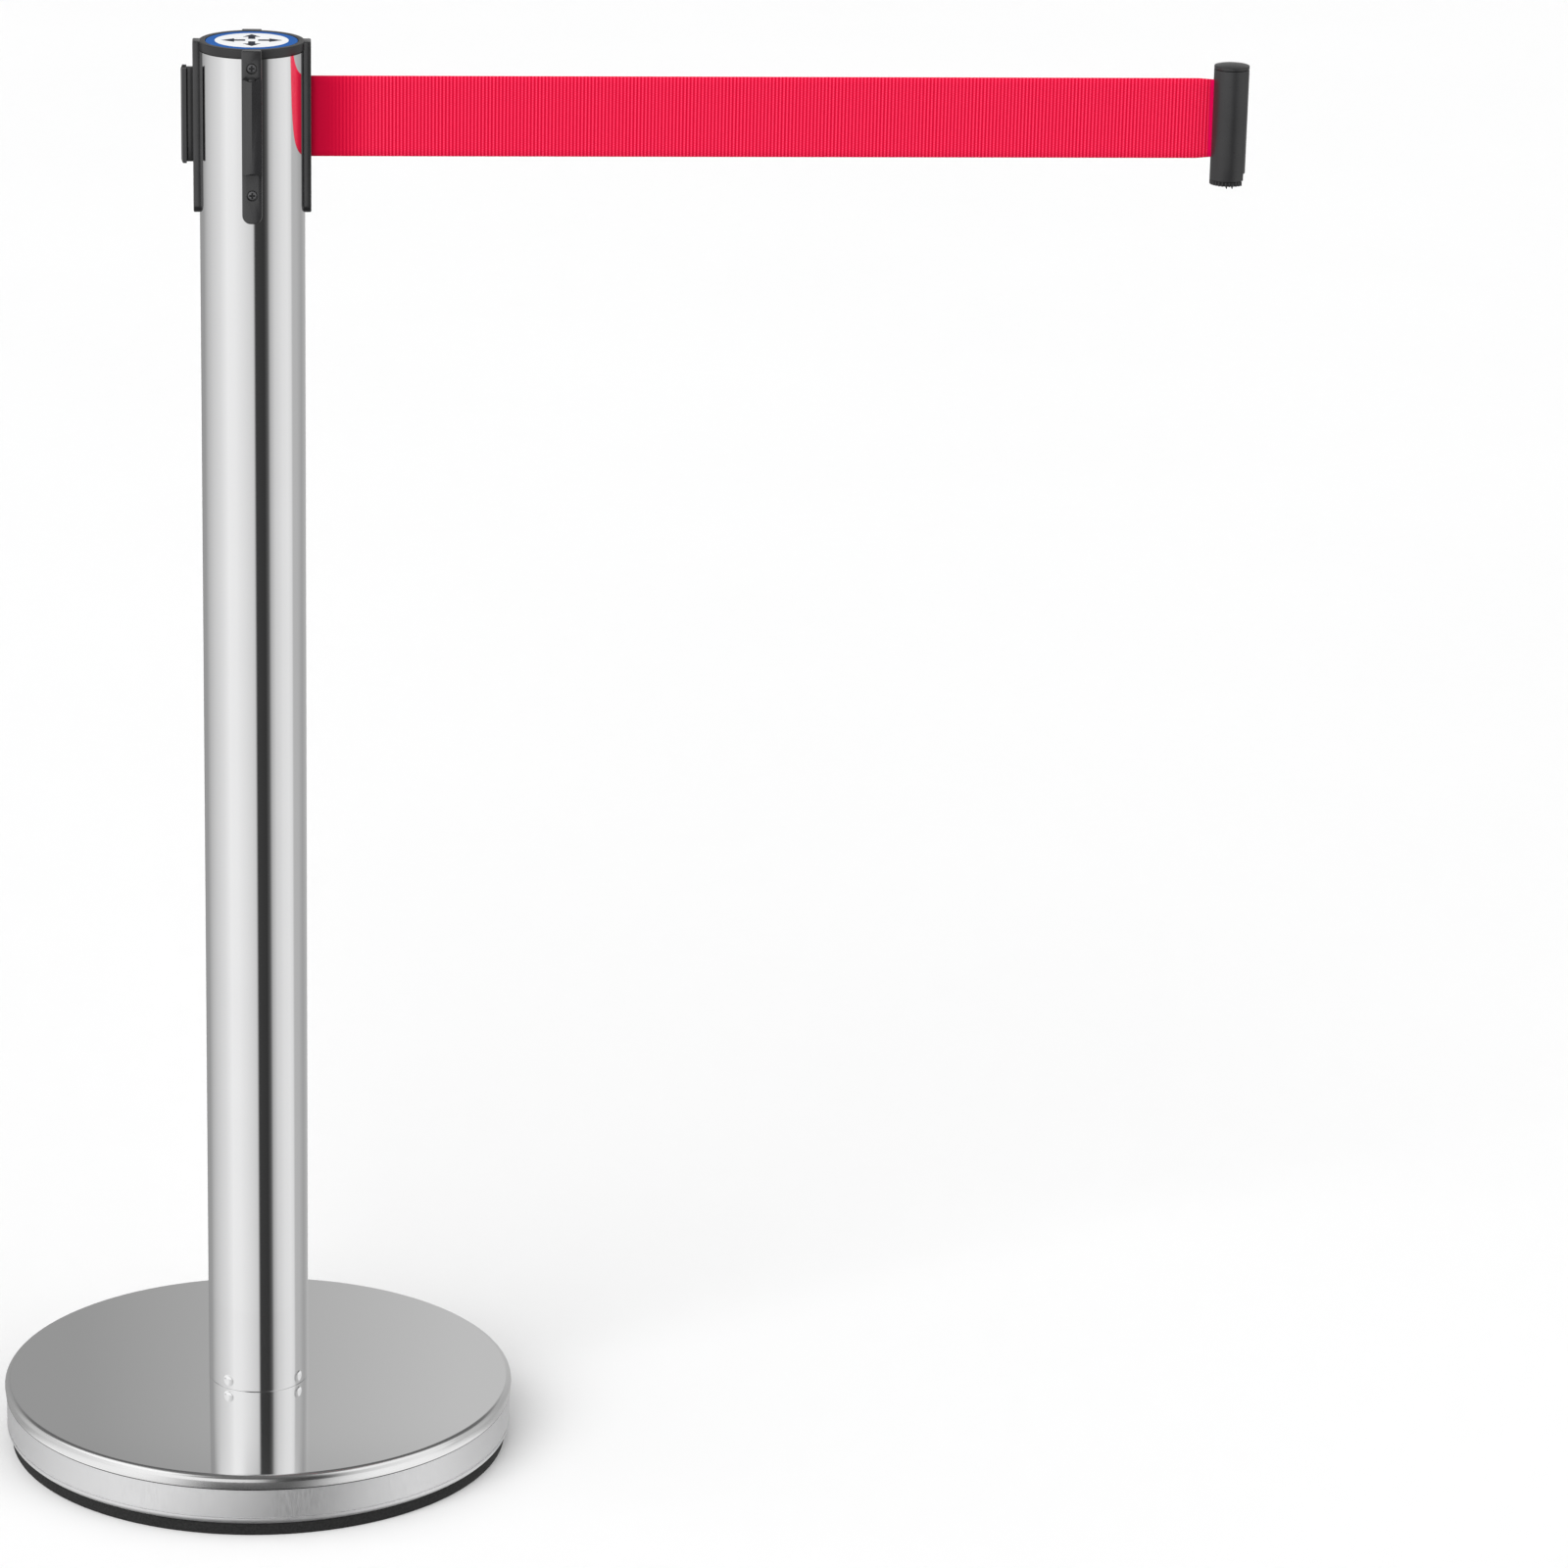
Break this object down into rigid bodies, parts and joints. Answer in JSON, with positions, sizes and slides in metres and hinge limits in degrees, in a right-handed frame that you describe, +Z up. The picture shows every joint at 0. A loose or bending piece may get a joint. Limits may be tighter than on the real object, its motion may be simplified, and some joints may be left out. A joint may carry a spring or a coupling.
{
  "type": "retractable belt stanchion",
  "caption": "Free-standing queue post with a weighted round base, a spring-reeled red belt ending in a clip, and T-rail receivers that take another post's clip.",
  "frame": {"origin": "on the post's axis, at the floor", "axes": "+Z up along the post, +X along the belt as it leaves the post, receivers at -X, -Y and +Y"},
  "size_m": [0.7591, 0.3222, 0.9],
  "materials": {
    "polished_steel": "polished stainless steel",
    "zinc_plated_steel": "zinc plated steel",
    "spring_steel": "blued spring steel",
    "concrete": "cast concrete",
    "black_screw": "black oxide",
    "black_plastic": "satin moulded nylon",
    "white_plastic": "natural moulded acetal",
    "rubber": "matt rubber",
    "brass": "turned",
    "label": "printed label, blue and white",
    "red_webbing": "ribbed woven polyester webbing"
  },
  "bodies": {
    "stand": {"post_tube": "polished_steel", "base_cover": "polished_steel", "base_band": "polished_steel", "base_weight": "concrete", "floor_ring": "rubber", "foot_plug": "zinc_plated_steel", "tie_bolt": "zinc_plated_steel", "tie_washer": "zinc_plated_steel", "spring_washer": "zinc_plated_steel", "top_cap": "black_plastic", "cap_label": "label", "receiver_front": "black_plastic", "receiver_left": "black_plastic", "receiver_rear": "black_plastic", "belt_outlet": "black_plastic", "screw_outlet_upper": "black_screw", "screw_outlet_lower": "black_screw", "screw_rear_upper": "black_screw", "screw_rear_lower": "black_screw", "screw_left_upper": "black_screw", "screw_left_lower": "black_screw", "screw_front_upper": "black_screw", "screw_front_lower": "black_screw", "cassette_body": "black_plastic", "cassette_lid": "black_plastic", "spool_axle": "zinc_plated_steel", "axle_ring": "spring_steel", "spring_arbor": "white_plastic"},
    "spool": {"spool_core": "white_plastic", "spool_flange": "white_plastic", "upper_bush": "brass", "belt_key_pin": "zinc_plated_steel", "spring_cup": "black_plastic", "lower_bush": "brass", "power_spring": "spring_steel", "belt_wound": "red_webbing"},
    "belt_end": {"clip_barrel": "black_plastic", "clip_cap": "black_plastic", "clip_foot": "black_plastic", "clip_belt_pin": "zinc_plated_steel", "belt_span": "red_webbing"}
  },
  "joints": [
    {"name": "belt_pull", "type": "slide", "parent": "stand", "child": "belt_end", "axis": [1, 0, 0], "range_m": [-0.5408, 1.4585], "deforming": ["belt_span"]},
    {"name": "spool_spin", "type": "hinge", "parent": "stand", "child": "spool", "pos_m": [0, 0, 0.8543], "axis": [0, 0, 1], "range_deg": [-1730, 4660], "deforming": ["power_spring"]}
  ],
  "couplings": [
    {"joint": "spool_spin", "follows": "belt_pull", "rad_per_m": 55.556}
  ]
}
